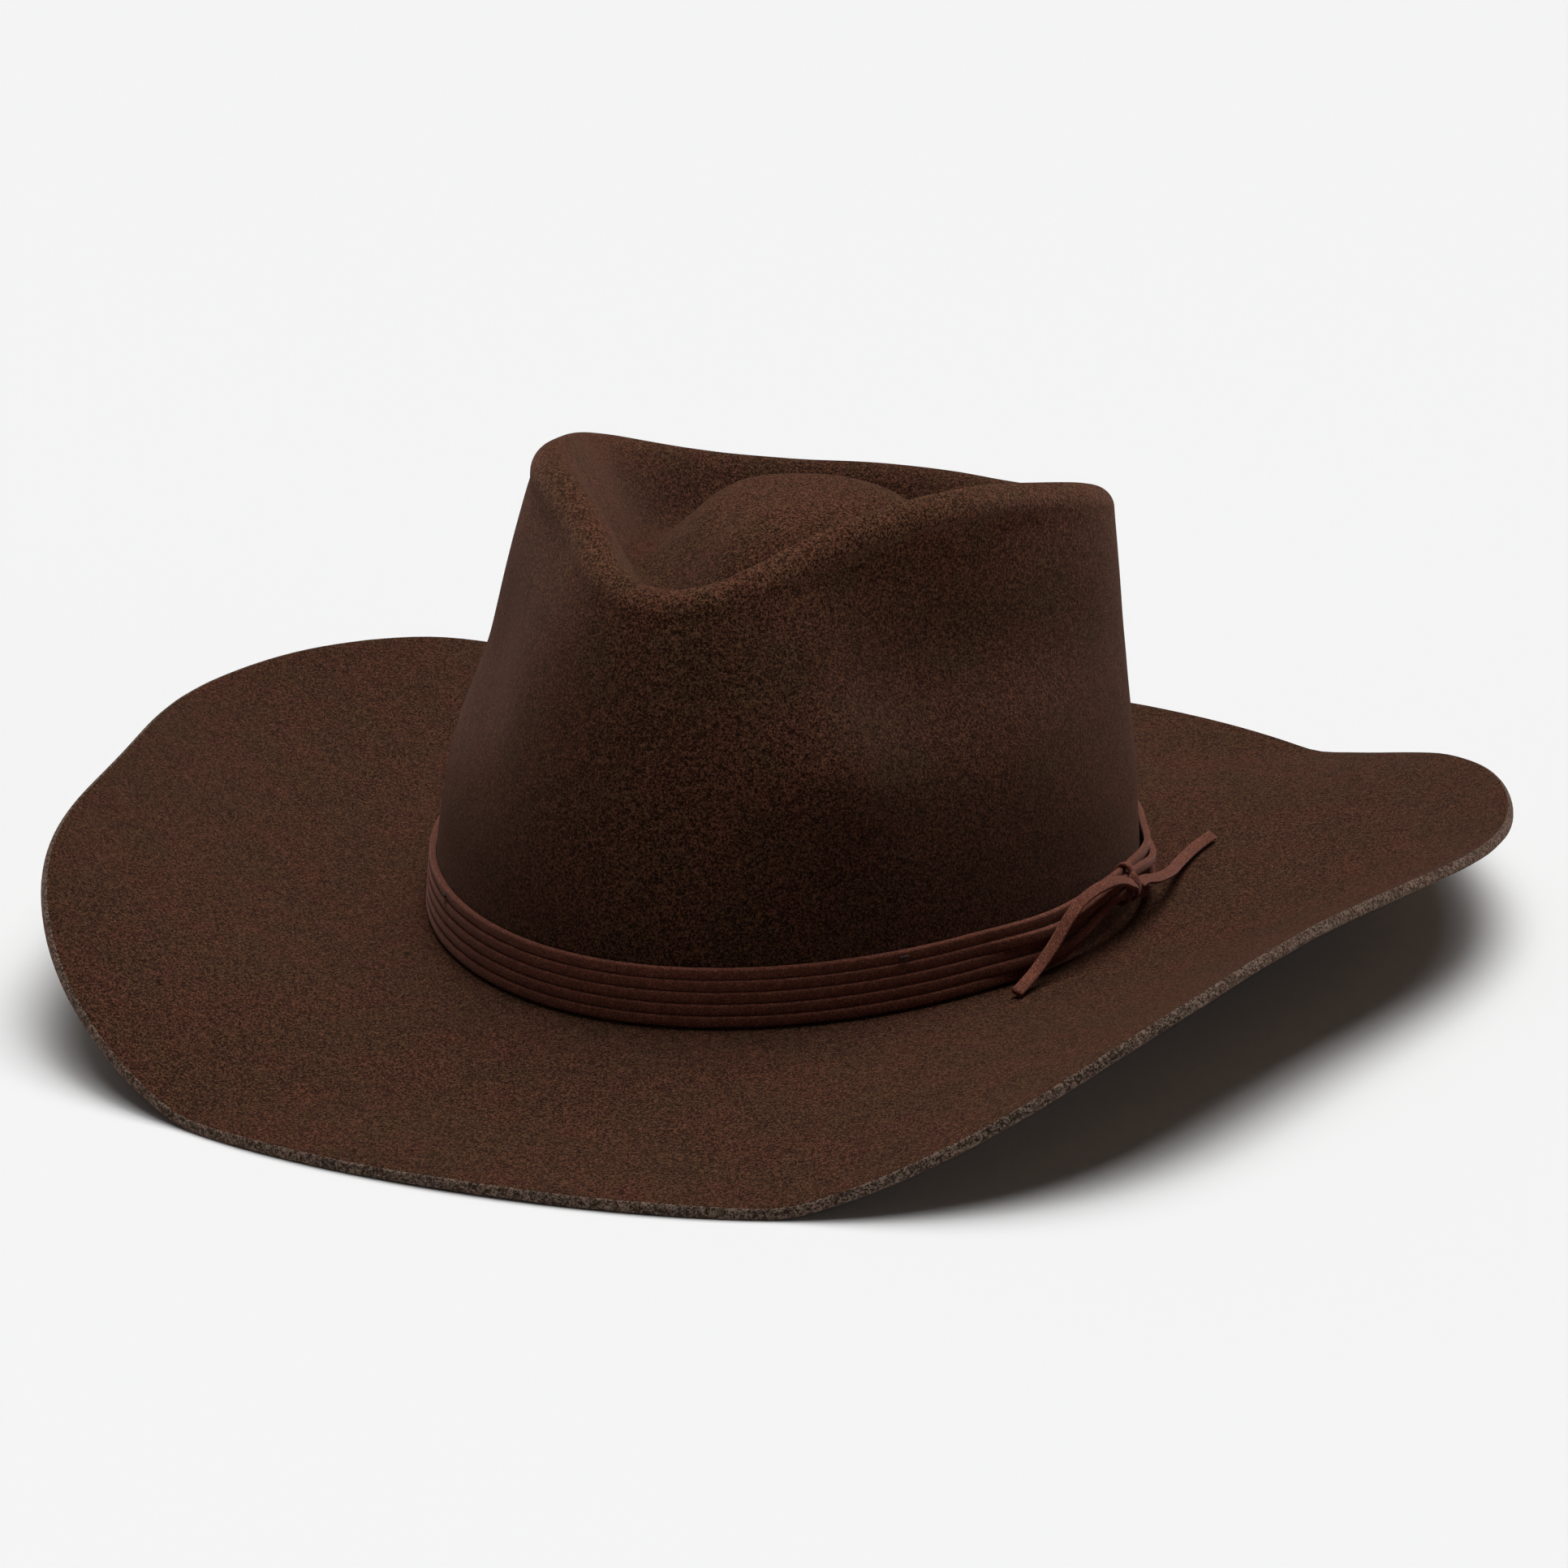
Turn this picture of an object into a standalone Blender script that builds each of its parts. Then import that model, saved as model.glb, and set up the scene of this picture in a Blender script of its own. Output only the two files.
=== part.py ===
"""A wide-brimmed felt hat with a teardrop crown and a suede lace wound five times round it.

Metres, +Z up. The front of the hat faces -Y and the wearer's left is +X. The hat stands on z = 0,
and the origin is under the middle of its brim. Angles go round the hat from the front (0) past the
wearer's left (90 degrees) to the back (180 degrees). Both sides are alike, but for the crown's dents
and the knot.
"""

import math

import bmesh
import bpy
from mathutils import Vector

# The felt, and the oval where the crown meets the brim
FELT = 0.0028
BASE_HALF_LENGTH = 0.1025
BASE_HALF_WIDTH = 0.0900
BASE_EGG = 0.0050
BREAK_HEIGHT = 0.0071
BREAK_FILLET = 0.0015

# Loft stations from the front to the back, one every 22.5 degrees. The brim's lift is where its
# edge would lie if the table didn't hold it up.
BRIM_REACH = (0.0980, 0.1045, 0.1035, 0.0870, 0.0850, 0.0945, 0.0950, 0.0990, 0.1005)
EDGE_LIFT = (-0.0055, 0.0035, 0.0315, 0.0400, 0.0370, 0.0315, 0.0205, 0.0000, 0.0000)
RIM_INSET = (0.0270, 0.0305, 0.0365, 0.0335, 0.0305, 0.0200, 0.0110, 0.0105, 0.0105)
RIM_HEIGHT = (0.1090, 0.1130, 0.1200, 0.1250, 0.1220, 0.1150, 0.1050, 0.0985, 0.0980)
BRIM_CURL = 1.8
SETTLE = 0.0015

# The crown's rounded rim, and the island inside its crease. The crease's height is given at the
# front, the side and the back.
RIM_RADIUS = 0.0062
FRONT_BULGE = -0.85
BACK_BULGE = -0.45
ISLAND_HEIGHT = 0.1105
ISLAND_BACK = 0.0200
ISLAND_BREADTH = 2.6
CREASE_HEIGHT = (0.0890, 0.0940, 0.0800)
CREASE_SHARE = 0.32

# The dents that fingers press into the wall, and the ridge that one of them leaves beside it, whose
# depth is below 0. Each is an angle and a spread in degrees, a depth in metres, a level as a share of
# the wall, and how far it reaches above and below that level.
DENTS = (
    (67, 25, 0.0105, 0.73, 0.31, 0.14),
    (36, 14, -0.0090, 0.60, 0.18, 0.18),
    (-64, 19, 0.0062, 0.60, 0.30, 0.13),
)

# The leather sweatband inside
FIT_GAP = 0.0003
SWEATBAND_THICKNESS = 0.0009
SWEATBAND_WIDTH = 0.0460
SWEATBAND_ROWS = 5
SWEATBAND_EASE = 0.0009
REED_RADIUS = 0.0008
BOW_SPAN = 0.0180
BOW_TALL = 0.0080
BOW_QUARTER = ((1.0, 0.35), (0.85, 1.0), (0.2, 0.3))
BOW_THICKNESS = 0.0009
BOW_HEIGHT = 0.0300
BOW_CLEARANCE = 0.0016

# The suede lace: five turns, gathered by a knot at the wearer's left
TURNS = 5
LACE_WIDTH = 0.0027
LACE_THICKNESS = 0.0013
LACE_CORNER = 0.0004
LACE_LIFT = 0.0008
KNOT_ANGLE = math.radians(93)
KNOT_SPREAD = math.radians(3)
GATHER_FRONT = math.radians(32)
GATHER_BACK = math.radians(22)
KNOT_HEIGHT = 0.0195
WRAP_THICKNESS = 0.0009
WRAP_SLACK = 0.0006
KNOT_LOOP_THICKNESS = 0.0012
KNOT_LOOP_TALL = 0.0060

# Where the two ends of the lace run, from the middle of the knot's loop
TAIL_FRONT_ROUTE = (
    (0.0000, -0.0018, 0.0008),
    (-0.0014, -0.0088, 0.0040),
    (-0.0029, -0.0172, 0.0054),
    (-0.0047, -0.0265, 0.0050),
    (-0.0063, -0.0336, 0.0022),
    (-0.0082, -0.0405, -0.0033),
    (-0.0102, -0.0485, -0.0078),
    (-0.0116, -0.0585, -0.0102),
)
TAIL_BACK_ROUTE = (
    (0.0000, 0.0018, 0.0000),
    (-0.0003, 0.0079, -0.0010),
    (0.0001, 0.0170, -0.0035),
    (-0.0009, 0.0310, -0.0065),
    (-0.0028, 0.0450, -0.0086),
    (-0.0033, 0.0590, -0.0094),
    (-0.0021, 0.0708, -0.0094),
)
TAIL_STEP = 0.0055

# Thread tacks that hold the top turn
TACK_ANGLES = tuple(math.radians(angle) for angle in (47, 133, 227, 313))
TACK_LENGTH = 0.0024
TACK_RADIUS = 0.00035

# How finely the surfaces are divided
MERIDIANS = 48
ISLAND_ROWS = 8
RIM_ROWS = 5
WALL_ROWS = 10
FILLET_ROWS = 3
BRIM_ROWS = 9
LACE_EXTRA = 2

PLAN_STEP = math.radians(0.5)


def blend(low, high, share):
    return low + (high - low) * share


def ease(share):
    """0 to 1 with a level start and end."""
    share = min(max(share, 0.0), 1.0)
    return share * share * (3 - 2 * share)


def around(stations, angle):
    """The smooth even curve round the hat that passes through equally spaced stations."""
    last = len(stations) - 1
    total = 0.0
    for wave in range(last + 1):
        weight = 0.0
        for index, value in enumerate(stations):
            share = 0.5 if index in (0, last) else 1.0
            weight += share * value * math.cos(math.pi * wave * index / last)
        scale = 1.0 if wave in (0, last) else 2.0
        total += scale / last * weight * math.cos(wave * angle)
    return total


def oval(angle):
    """Plan point and outward normal of the crown's foot, about its own middle."""
    x = BASE_HALF_WIDTH * math.sin(angle) - BASE_EGG * math.sin(2 * angle)
    y = -BASE_HALF_LENGTH * math.cos(angle)
    along_x = BASE_HALF_WIDTH * math.cos(angle) - 2 * BASE_EGG * math.cos(2 * angle)
    along_y = BASE_HALF_LENGTH * math.sin(angle)
    return Vector((x, y, 0)), Vector((along_y, -along_x, 0)).normalized()


def edge_plan(angle):
    foot, outward = oval(angle)
    return foot + outward * around(BRIM_REACH, angle)


EDGE_Y = [edge_plan(math.radians(degree)).y for degree in range(181)]
MIDDLE = Vector((0, -(min(EDGE_Y) + max(EDGE_Y)) / 2, 0))


def foot_of(angle):
    foot, outward = oval(angle)
    return foot + MIDDLE, outward


def rim_plan(angle):
    """Plan point of the crown's rim, on the crest of its rounding."""
    foot, outward = foot_of(angle)
    return foot - outward * around(RIM_INSET, angle)


def rim_outward(angle):
    ahead = rim_plan(angle + PLAN_STEP) - rim_plan(angle - PLAN_STEP)
    return Vector((ahead.y, -ahead.x, 0)).normalized()


def dent_at(angle, share):
    """How far the wall is pressed in there."""
    total = 0.0
    for centre, spread, depth, level, above, below in DENTS:
        across = math.remainder(math.degrees(angle) - centre, 360) / spread
        along = (share - level) / (above if share > level else below)
        total += depth * math.exp(-across * across - along * along)
    return total


def wall_at(angle, share):
    """Point on the crown's wall, from its fillet (0) to the start of the rim's rounding (1)."""
    foot, outward = foot_of(angle)
    top = rim_plan(angle) + rim_outward(angle) * RIM_RADIUS
    to_back = (1 - math.cos(angle)) / 2
    bulge = blend(FRONT_BULGE, BACK_BULGE, to_back)
    lean = share + bulge * share * (1 - share)
    point = blend(foot, top, lean) - rim_outward(angle) * dent_at(angle, share)
    low = BREAK_HEIGHT + BREAK_FILLET
    high = around(RIM_HEIGHT, angle) - RIM_RADIUS
    point.z = blend(low, high, share)
    return point


def wall_at_height(angle, height):
    low = BREAK_HEIGHT + BREAK_FILLET
    high = around(RIM_HEIGHT, angle) - RIM_RADIUS
    point = wall_at(angle, max((height - low) / (high - low), 0.0))
    point.z = height
    return point


def island_point(angle, share):
    """Point inside the rim, from its crest (0) down the crease and up to the island's top (1)."""
    centre = MIDDLE + Vector((0, ISLAND_BACK, 0))
    point = blend(rim_plan(angle), centre, share)
    low = around(CREASE_HEIGHT, angle)
    if share < CREASE_SHARE:
        point.z = blend(around(RIM_HEIGHT, angle), low, ease(share / CREASE_SHARE))
    else:
        rise = ease((share - CREASE_SHARE) / (1 - CREASE_SHARE))
        point.z = blend(low, ISLAND_HEIGHT, 1 - (1 - rise) ** ISLAND_BREADTH)
    return point


def rim_point(angle, turn):
    """Point on the rim's rounding, from the crest (0) to the wall (a quarter turn)."""
    point = rim_plan(angle) + rim_outward(angle) * RIM_RADIUS * math.sin(turn)
    point.z = around(RIM_HEIGHT, angle) - RIM_RADIUS * (1 - math.cos(turn))
    return point


def fillet_point(angle, turn):
    """Point on the fillet, from the wall (0) to the brim (a quarter turn)."""
    foot, outward = foot_of(angle)
    point = foot + outward * BREAK_FILLET * (1 - math.cos(turn))
    point.z = BREAK_HEIGHT + BREAK_FILLET * (1 - math.sin(turn))
    return point


def settled(height):
    """Height of the brim's top where its own weight lays it on the table, with a soft start."""
    over = height - FELT
    if abs(over) < SETTLE:
        over = (over + SETTLE) ** 2 / (4 * SETTLE)
    return FELT + max(over, 0.0)


def brim_point(angle, share):
    """Point on top of the brim, from its fillet (0) to its edge (1)."""
    foot, outward = foot_of(angle)
    point = foot + outward * blend(BREAK_FILLET, around(BRIM_REACH, angle), share)
    height = blend(BREAK_HEIGHT, around(EDGE_LIFT, angle), share**BRIM_CURL)
    point.z = settled(height)
    return point


def felt_row(place, shares):
    return [[place(angle, share) for angle in meridians()] for share in shares]


def meridians():
    return [2 * math.pi * index / MERIDIANS for index in range(MERIDIANS)]


def steps(count, low=0.0, high=1.0):
    """count values that end at high and leave low out."""
    return [blend(low, high, (index + 1) / count) for index in range(count)]


# Scene helpers


def clear_scene():
    for old in list(bpy.data.objects):
        bpy.data.objects.remove(old, do_unlink=True)


def new_collection(name, hidden=False):
    collection = bpy.data.collections.new(name)
    bpy.context.scene.collection.children.link(collection)
    collection.hide_render = hidden
    return collection


def material(name, colour, roughness):
    made = bpy.data.materials.new(name)
    made.use_nodes = True
    shader = made.node_tree.nodes["Principled BSDF"]
    shader.inputs["Base Color"].default_value = (*colour, 1)
    shader.inputs["Roughness"].default_value = roughness
    shader.inputs["Metallic"].default_value = 0.0
    return made


def add_object(name, data, finish, collection):
    made = bpy.data.objects.new(name, data)
    data.materials.append(finish)
    collection.objects.link(made)
    return made


def round_surface(name, rows, pole=None):
    """A mesh that joins closed rings of points, with an optional point that closes the first one."""
    shape = bmesh.new()
    rings = [[shape.verts.new(point) for point in row] for row in rows]
    for upper, lower in zip(rings, rings[1:]):
        for index in range(len(upper)):
            after = (index + 1) % len(upper)
            shape.faces.new((upper[index], lower[index], lower[after], upper[after]))
    if pole is not None:
        top = shape.verts.new(pole)
        for index in range(len(rings[0])):
            after = (index + 1) % len(rings[0])
            shape.faces.new((top, rings[0][index], rings[0][after]))
    data = bpy.data.meshes.new(name)
    shape.to_mesh(data)
    shape.free()
    data.shade_smooth()
    return data


def thicken(made, thickness, offset=-1.0):
    solid = made.modifiers.new("Solidify", "SOLIDIFY")
    solid.thickness = thickness
    solid.offset = offset
    solid.use_even_offset = True


def apply_modifiers(made):
    """Gives the object its evaluated mesh."""
    graph = bpy.context.evaluated_depsgraph_get()
    data = bpy.data.meshes.new_from_object(made.evaluated_get(graph))
    made.modifiers.clear()
    made.data = data


def poly_curve(name, points, closed, radius=0.0, profile=None):
    data = bpy.data.curves.new(name, "CURVE")
    data.dimensions = "3D"
    data.twist_mode = "Z_UP"
    spline = data.splines.new("POLY")
    spline.points.add(len(points) - 1)
    for target, point in zip(spline.points, points):
        target.co = (*point, 1)
    spline.use_cyclic_u = closed
    spline.use_smooth = True
    data.use_fill_caps = not closed
    if profile:
        data.bevel_mode = "OBJECT"
        data.bevel_object = profile
    else:
        data.bevel_depth = radius
        data.bevel_resolution = 2
    return data


def lace_profile(collection):
    """The lace's section: a rectangle with cut corners, upright on the crown."""
    half_width = LACE_WIDTH / 2
    half_thickness = LACE_THICKNESS / 2
    outline = []
    for x_sign, y_sign, x_first in ((1, 1, 0), (-1, 1, 1), (-1, -1, 0), (1, -1, 1)):
        corners = [
            (half_thickness, half_width - LACE_CORNER),
            (half_thickness - LACE_CORNER, half_width),
        ]
        if x_first:
            corners.reverse()
        outline += [(x_sign * x, y_sign * y, 0) for x, y in corners]
    data = bpy.data.curves.new("lace_profile", "CURVE")
    data.dimensions = "2D"
    spline = data.splines.new("POLY")
    spline.points.add(len(outline) - 1)
    for target, point in zip(spline.points, reversed(outline)):
        target.co = (*point, 1)
    spline.use_cyclic_u = True
    made = bpy.data.objects.new("lace_profile", data)
    collection.objects.link(made)
    made.hide_render = True
    made.display_type = "WIRE"
    return made


def smooth_route(points, spacing):
    """Points along a smooth curve through the given ones, about one spacing apart."""
    ends = [points[0] * 2 - points[1], *points, points[-1] * 2 - points[-2]]
    route = []
    for before, start, stop, after in zip(ends, ends[1:], ends[2:], ends[3:]):
        count = max(round((stop - start).length / spacing), 1)
        for index in range(count):
            t = index / count
            route.append(
                0.5
                * (
                    2 * start
                    + (stop - before) * t
                    + (2 * before - 5 * start + 4 * stop - after) * t**2
                    + (3 * start - before - 3 * stop + after) * t**3
                )
            )
    return [*route, points[-1]]


# The pieces


def make_felt_body(collection, felt):
    quarter = math.pi / 2
    rows = felt_row(island_point, [1 - share for share in steps(ISLAND_ROWS)[:-1]])
    rows += felt_row(rim_point, [0.0, *steps(RIM_ROWS, 0.0, quarter)])
    rows += felt_row(wall_at, [1 - share for share in steps(WALL_ROWS)])
    rows += felt_row(fillet_point, steps(FILLET_ROWS, 0.0, quarter))
    rows += felt_row(brim_point, steps(BRIM_ROWS))
    pole = island_point(0.0, 1.0)
    made = add_object("felt_body", round_surface("felt_body", rows, pole), felt, collection)
    thicken(made, FELT)
    apply_modifiers(made)
    for vertex in made.data.vertices:
        vertex.co.z = max(vertex.co.z, 0.0)


def sweatband_point(angle, height):
    """Point on the side of the sweatband that lies against the felt."""
    point = wall_at_height(angle, height)
    inset = FELT + SWEATBAND_EASE
    return point - foot_of(angle)[1] * inset


def make_sweatband(collection, leather, thread):
    low = BREAK_HEIGHT - FELT + FIT_GAP
    heights = [low, *steps(SWEATBAND_ROWS, low, low + SWEATBAND_WIDTH)]
    rows = felt_row(sweatband_point, heights[::-1])
    made = add_object("sweatband", round_surface("sweatband", rows), leather, collection)
    thicken(made, SWEATBAND_THICKNESS)

    reed_height = low - FIT_GAP - REED_RADIUS
    route = []
    for angle in meridians():
        point = sweatband_point(angle, low) - foot_of(angle)[1] * SWEATBAND_THICKNESS / 2
        point.z = reed_height
        route.append(point)
    data = poly_curve("sweatband_reed", route, True, radius=REED_RADIUS)
    add_object("sweatband_reed", data, leather, collection)

    back = sweatband_point(math.pi, BOW_HEIGHT)
    y = back.y - SWEATBAND_THICKNESS - BOW_CLEARANCE
    outline = []
    for x_sign, z_sign, reverse in ((1, 1, 0), (-1, 1, 1), (-1, -1, 0), (1, -1, 1)):
        quarter = BOW_QUARTER[::-1] if reverse else BOW_QUARTER
        for across, tall in quarter:
            outline.append((x_sign * across * BOW_SPAN / 2, z_sign * tall * BOW_TALL / 2, 0))
    data = bpy.data.curves.new("sweatband_bow", "CURVE")
    data.dimensions = "2D"
    data.fill_mode = "BOTH"
    data.extrude = BOW_THICKNESS / 2
    spline = data.splines.new("POLY")
    spline.points.add(len(outline) - 1)
    for target, point in zip(spline.points, outline):
        target.co = (*point, 1)
    spline.use_cyclic_u = True
    bow = add_object("sweatband_bow", data, thread, collection)
    bow.location = (0, y, BOW_HEIGHT)
    bow.rotation_euler = (math.pi / 2, 0, 0)


def lace_angles():
    """The felt's own meridians, with more between them where the lace gathers to its knot."""
    angles = []
    gap = 2 * math.pi / MERIDIANS
    for angle in meridians():
        angles.append(angle)
        near = KNOT_ANGLE - GATHER_FRONT - gap < angle < KNOT_ANGLE + GATHER_BACK
        if near:
            angles += [angle + gap * (index + 1) / (LACE_EXTRA + 1) for index in range(LACE_EXTRA)]
    return angles


def gather(angle):
    """0 where the turns lie on the crown, 1 in the knot."""
    away = angle - KNOT_ANGLE
    reach = GATHER_BACK if away > 0 else GATHER_FRONT
    return min(max(1 - (abs(away) - KNOT_SPREAD) / reach, 0.0), 1.0)


LACE_PITCH = LACE_WIDTH + FIT_GAP
ON_CROWN = FIT_GAP + LACE_THICKNESS / 2
IN_KNOT = ON_CROWN + WRAP_THICKNESS + WRAP_SLACK + FIT_GAP
LAYER = LACE_THICKNESS + FIT_GAP


def turn_point(turn, angle):
    """Middle of one turn of lace. The second and fourth ride over the others inside the knot."""
    share = gather(angle)
    outward_share = ease(2 * share)
    upward_share = ease(2 * share - 1)
    plain = BREAK_HEIGHT + LACE_LIFT + LACE_PITCH * (TURNS - turn - 0.5)
    bunched = KNOT_HEIGHT + LACE_PITCH / 2 * ((TURNS - 1) / 2 - turn)
    height = blend(plain, bunched, upward_share)
    layer = LAYER if turn % 2 else 0.0
    away = blend(ON_CROWN, IN_KNOT + layer, outward_share)
    on_wall = wall_at_height(angle, height)
    point = blend(on_wall, wall_at_height(angle, KNOT_HEIGHT), outward_share)
    point += foot_of(angle)[1] * away
    point.z = height
    return point


def make_lace_turns(collection, suede, profile):
    for turn in range(TURNS):
        name = f"lace_turn_{turn + 1}"
        route = [turn_point(turn, angle) for angle in lace_angles()]
        add_object(name, poly_curve(name, route, True, profile=profile), suede, collection)


def knot_frame():
    """Middle of the bundle in the knot, with the ways outward and along it."""
    outward = foot_of(KNOT_ANGLE)[1]
    along = Vector((-outward.y, outward.x, 0))
    centre = wall_at_height(KNOT_ANGLE, KNOT_HEIGHT) + outward * (IN_KNOT + LAYER / 2)
    return centre, outward, along


def knot_loop_centre():
    centre, outward, _ = knot_frame()
    half_depth = (LACE_THICKNESS + LAYER) / 2 + FIT_GAP
    return centre + outward * (half_depth + WRAP_THICKNESS + FIT_GAP + KNOT_LOOP_THICKNESS / 2)


def make_knot(collection, suede):
    centre, outward, along = knot_frame()
    half_depth = (LACE_THICKNESS + LAYER) / 2 + FIT_GAP
    half_tall = (LACE_WIDTH + LACE_PITCH * (TURNS - 1) / 2) / 2 + FIT_GAP
    corners = []
    for out_sign, up_sign in ((1, 1), (-1, 1), (-1, -1), (1, -1)):
        corners.append(outward * half_depth * out_sign + Vector((0, 0, half_tall * up_sign)))
    half_width = along * LACE_WIDTH / 2
    rows = [[centre + half_width * side + corner for corner in corners] for side in (-1, 1)]
    data = round_surface("lace_knot_wrap", rows)
    wrap = add_object("lace_knot_wrap", data, suede, collection)
    thicken(wrap, WRAP_THICKNESS, offset=1.0)

    shape = bmesh.new()
    bmesh.ops.create_cube(shape, size=1.0)
    bmesh.ops.scale(shape, verts=shape.verts, vec=(KNOT_LOOP_THICKNESS, LACE_WIDTH, KNOT_LOOP_TALL))
    data = bpy.data.meshes.new("lace_knot_loop")
    shape.to_mesh(data)
    shape.free()
    loop = add_object("lace_knot_loop", data, suede, collection)
    loop.location = knot_loop_centre()
    loop.rotation_euler = (0, 0, math.atan2(outward.y, outward.x))
    rounding = loop.modifiers.new("Bevel", "BEVEL")
    rounding.width = LACE_CORNER
    rounding.segments = 2


def make_tails(collection, suede, profile):
    origin = knot_loop_centre()
    for name, offsets in (
        ("lace_tail_front", TAIL_FRONT_ROUTE),
        ("lace_tail_back", TAIL_BACK_ROUTE),
    ):
        points = [origin + Vector(offset) for offset in offsets]
        route = smooth_route(points, TAIL_STEP)
        add_object(name, poly_curve(name, route, False, profile=profile), suede, collection)


def make_tacks(collection, thread):
    for index, angle in enumerate(TACK_ANGLES):
        foot, outward = foot_of(angle)
        along = Vector((-outward.y, outward.x, 0))
        stand_off = LACE_THICKNESS / 2 + FIT_GAP + TACK_RADIUS
        centre = turn_point(0, angle) + outward * stand_off
        half = along * TACK_LENGTH / 2
        name = f"band_tack_{index + 1}"
        route = [centre - half, centre, centre + half]
        data = poly_curve(name, route, False, radius=TACK_RADIUS)
        add_object(name, data, thread, collection)


def main():
    clear_scene()
    hat = new_collection("felt_hat")
    guides = new_collection("guides", hidden=True)
    felt = material("brown_wool_felt", (0.055, 0.026, 0.016), 0.95)
    suede = material("red_brown_suede", (0.075, 0.025, 0.017), 0.9)
    leather = material("brown_leather", (0.09, 0.04, 0.02), 0.5)
    thread = material("dark_thread", (0.02, 0.01, 0.008), 0.7)
    profile = lace_profile(guides)
    make_felt_body(hat, felt)
    make_sweatband(hat, leather, thread)
    make_lace_turns(hat, suede, profile)
    make_knot(hat, suede)
    make_tails(hat, suede, profile)
    make_tacks(hat, thread)


main()
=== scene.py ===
"""The looks of the felt hat: brushed felt with a raw edge, a suede lace, a leather sweatband."""

import math

import bpy
import numpy as np
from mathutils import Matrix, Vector, noise


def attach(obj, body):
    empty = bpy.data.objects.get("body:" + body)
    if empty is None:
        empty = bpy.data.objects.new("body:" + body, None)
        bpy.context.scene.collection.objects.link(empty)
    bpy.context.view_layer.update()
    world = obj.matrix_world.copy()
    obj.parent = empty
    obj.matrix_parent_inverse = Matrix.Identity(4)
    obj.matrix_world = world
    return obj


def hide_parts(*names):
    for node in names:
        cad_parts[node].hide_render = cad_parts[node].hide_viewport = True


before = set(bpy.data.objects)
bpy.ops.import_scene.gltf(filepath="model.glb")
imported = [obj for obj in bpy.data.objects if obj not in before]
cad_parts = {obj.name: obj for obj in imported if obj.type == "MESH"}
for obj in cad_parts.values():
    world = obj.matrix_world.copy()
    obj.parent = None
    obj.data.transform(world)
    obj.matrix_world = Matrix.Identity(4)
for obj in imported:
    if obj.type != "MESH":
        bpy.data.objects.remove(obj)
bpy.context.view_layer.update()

# The same shape as the CAD, in metres
FELT = 0.0028
BASE_HALF_LENGTH = 0.1025
BASE_HALF_WIDTH = 0.0900
BASE_EGG = 0.0050
BREAK_HEIGHT = 0.0071
BREAK_FILLET = 0.0015
BRIM_REACH = (0.0980, 0.1045, 0.1035, 0.0870, 0.0850, 0.0945, 0.0950, 0.0990, 0.1005)
EDGE_LIFT = (-0.0055, 0.0035, 0.0315, 0.0400, 0.0370, 0.0315, 0.0205, 0.0000, 0.0000)
RIM_INSET = (0.0270, 0.0305, 0.0365, 0.0335, 0.0305, 0.0200, 0.0110, 0.0105, 0.0105)
RIM_HEIGHT = (0.1090, 0.1130, 0.1200, 0.1250, 0.1220, 0.1150, 0.1050, 0.0985, 0.0980)
BRIM_CURL = 1.8
SETTLE = 0.0015
RIM_RADIUS = 0.0062
FRONT_BULGE = -0.85
BACK_BULGE = -0.45
DENTS = (
    (67, 25, 0.0105, 0.73, 0.31, 0.14),
    (36, 14, -0.0090, 0.60, 0.18, 0.18),
    (-64, 19, 0.0062, 0.60, 0.30, 0.13),
)
ISLAND_HEIGHT = 0.1105
ISLAND_BACK = 0.0200
CREASE_HEIGHT = (0.0890, 0.0940, 0.0800)
CREASE_SHARE = 0.32
ISLAND_BREADTH = 2.6

# Where the middle of the base lies, so that the brim's outline is centred on the origin
MIDDLE_Y = -0.00125

FIT_GAP = 0.0003
SWEATBAND_THICKNESS = 0.0009
SWEATBAND_WIDTH = 0.0460
SWEATBAND_EASE = 0.0009

TURNS = 5
LACE_WIDTH = 0.0027
LACE_THICKNESS = 0.0013
LACE_LIFT = 0.0008
KNOT_ANGLE = math.radians(93)
KNOT_SPREAD = math.radians(3)
GATHER_FRONT = math.radians(32)
GATHER_BACK = math.radians(22)
KNOT_HEIGHT = 0.0195
WRAP_THICKNESS = 0.0009
WRAP_SLACK = 0.0006

MERIDIANS = 240


def blend(low, high, share):
    return low + (high - low) * share


def ease(share):
    """0 to 1 with a level start and end."""
    share = np.clip(share, 0.0, 1.0)
    return share * share * (3 - 2 * share)


def around(stations, angle):
    """The smooth even curve round the hat that passes through equally spaced stations."""
    last = len(stations) - 1
    total = np.zeros_like(angle)
    for wave in range(last + 1):
        weight = 0.0
        for index, value in enumerate(stations):
            share = 0.5 if index in (0, last) else 1.0
            weight += share * value * math.cos(math.pi * wave * index / last)
        scale = 1.0 if wave in (0, last) else 2.0
        total = total + scale / last * weight * np.cos(wave * angle)
    return total


def flat(x, y, z=0.0):
    """Arrays of x, y and z as rows of points."""
    x, y, z = np.broadcast_arrays(x, y, z)
    return np.stack([x, y, z], axis=-1)


def unit(vectors):
    return vectors / np.linalg.norm(vectors, axis=-1, keepdims=True)


def foot_of(angle):
    """Where the wall meets the brim, and the way out from there. Angles go round from the front."""
    x = BASE_HALF_WIDTH * np.sin(angle) - BASE_EGG * np.sin(2 * angle)
    y = MIDDLE_Y - BASE_HALF_LENGTH * np.cos(angle)
    along_x = BASE_HALF_WIDTH * np.cos(angle) - 2 * BASE_EGG * np.cos(2 * angle)
    along_y = BASE_HALF_LENGTH * np.sin(angle)
    return flat(x, y), unit(flat(along_y, -along_x))


def rim_plan(angle):
    """The top of the crown's rim, seen from above."""
    foot, outward = foot_of(angle)
    return foot - outward * around(RIM_INSET, angle)[..., None]


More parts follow.
